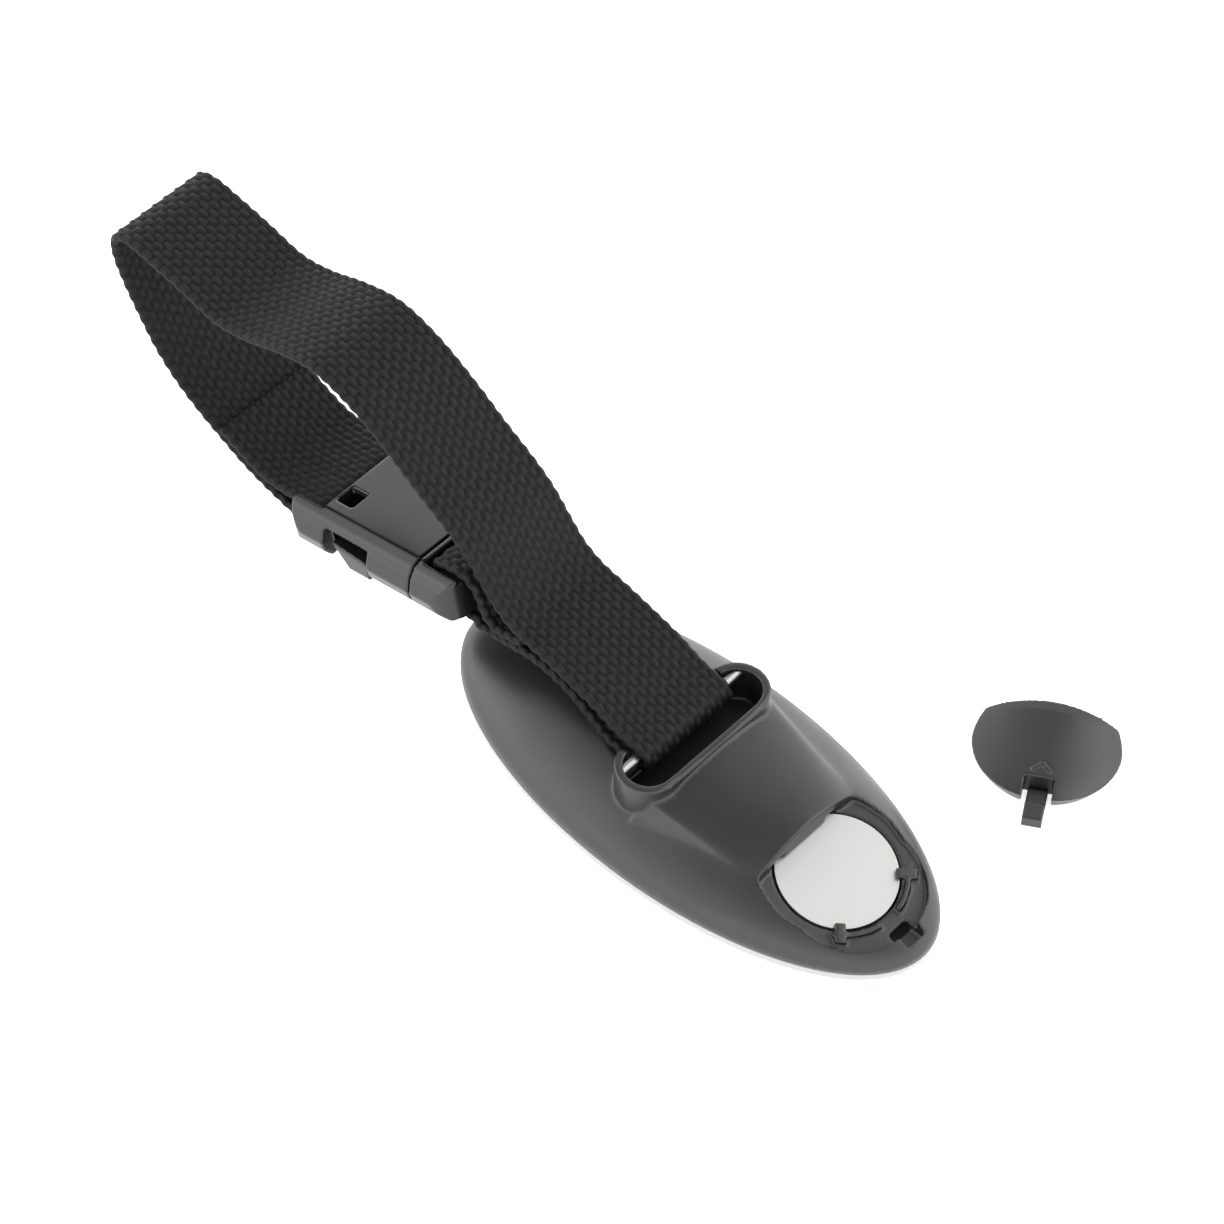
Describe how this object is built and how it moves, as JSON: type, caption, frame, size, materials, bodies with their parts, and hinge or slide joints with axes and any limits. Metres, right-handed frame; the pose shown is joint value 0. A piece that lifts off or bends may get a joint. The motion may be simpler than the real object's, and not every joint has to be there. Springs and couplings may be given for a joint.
{
  "type": "clicker trainer",
  "caption": "Electronic dog-training clicker: almond-shaped black housing with a coin cell under a snap cover, a press button on the front and a wrist strap with a side-release buckle.",
  "frame": {"origin": "centre of the housing's outline, on the flat front face that it rests on", "axes": "+X along the housing towards the battery end, +Z from the front face to the domed back with the strap mouth, +Y across the housing; the strap's loop lies over -X and the loose cover beside +Y"},
  "size_m": [0.1706, 0.0788, 0.0557],
  "materials": {
    "black_abs": "satin moulded",
    "grey_abs": "satin moulded",
    "black_acetal": "satin moulded",
    "steel": "turned",
    "nickel": "satin nickel plate",
    "seal": "matte",
    "spring_brass": "rolled",
    "board_laminate": "solder mask",
    "ceramic": "fired",
    "copper_coil": "wound, varnished",
    "wire_cover": "smooth",
    "red_plastic": "moulded",
    "webbing": "woven, matte"
  },
  "bodies": {
    "housing": {"back_shell": "black_abs", "front_shell": "grey_abs", "case_screws": "steel", "strap_pin": "steel", "coin_cell_can": "nickel", "coin_cell_cap": "nickel", "coin_cell_gasket": "seal", "plus_contact": "spring_brass", "minus_contact": "spring_brass", "circuit_board": "board_laminate", "board_screws": "steel", "controller_chip": "black_abs", "small_board_parts": "ceramic", "boost_coil": "copper_coil", "switch_body": "black_abs", "sounder_ring": "seal", "sounder_plate": "spring_brass", "sounder_ceramic": "ceramic", "sounder_wires": "wire_cover"},
    "plunger": {"switch_plunger": "red_plastic"},
    "button": {"click_button": "grey_abs"},
    "cover": {"battery_cover": "black_abs"},
    "latch": {"cover_latch": "black_abs"},
    "strap": {"wrist_strap": "webbing", "buckle_socket": "black_acetal", "buckle_plug": "black_acetal"},
    "arm_near": {"buckle_arm_near": "black_acetal"},
    "arm_far": {"buckle_arm_far": "black_acetal"}
  },
  "joints": [
    {"name": "button_press", "type": "slide", "parent": "housing", "child": "button", "axis": [0, 0, 1], "range_m": [0, 0.0005], "stiffness_N_per_m": 1500, "springref_m": -0.0005},
    {"name": "plunger_press", "type": "slide", "parent": "housing", "child": "plunger", "axis": [0, 0, 1], "range_m": [0, 0.0005]},
    {"name": "cover_lift", "type": "slide", "parent": "housing", "child": "cover", "axis": [0, 0, 1], "range_m": [0, 0.03]},
    {"name": "latch_flex", "type": "hinge", "parent": "cover", "child": "latch", "pos_m": [0.0391, 0.03909, 0.00057], "axis": [-0.8571, -0.5151, 0], "range_deg": [0, 10], "stiffness_Nm_per_rad": 0.003},
    {"name": "strap_swing", "type": "hinge", "parent": "housing", "child": "strap", "pos_m": [-0.0038, 0, 0.0176], "axis": [0, 1, 0], "range_deg": [0, 120]},
    {"name": "arm_near_squeeze", "type": "hinge", "parent": "strap", "child": "arm_near", "pos_m": [-0.05024, -0.0104, 0.02414], "axis": [0.2334, 0, -0.9724], "range_deg": [0, 12], "stiffness_Nm_per_rad": 0.02},
    {"name": "arm_far_squeeze", "type": "hinge", "parent": "strap", "child": "arm_far", "pos_m": [-0.05024, 0.0104, 0.02414], "axis": [-0.2334, 0, 0.9724], "range_deg": [0, 12], "stiffness_Nm_per_rad": 0.02}
  ],
  "couplings": [
    {"joint": "plunger_press", "follows": "button_press", "ratio": 1}
  ]
}
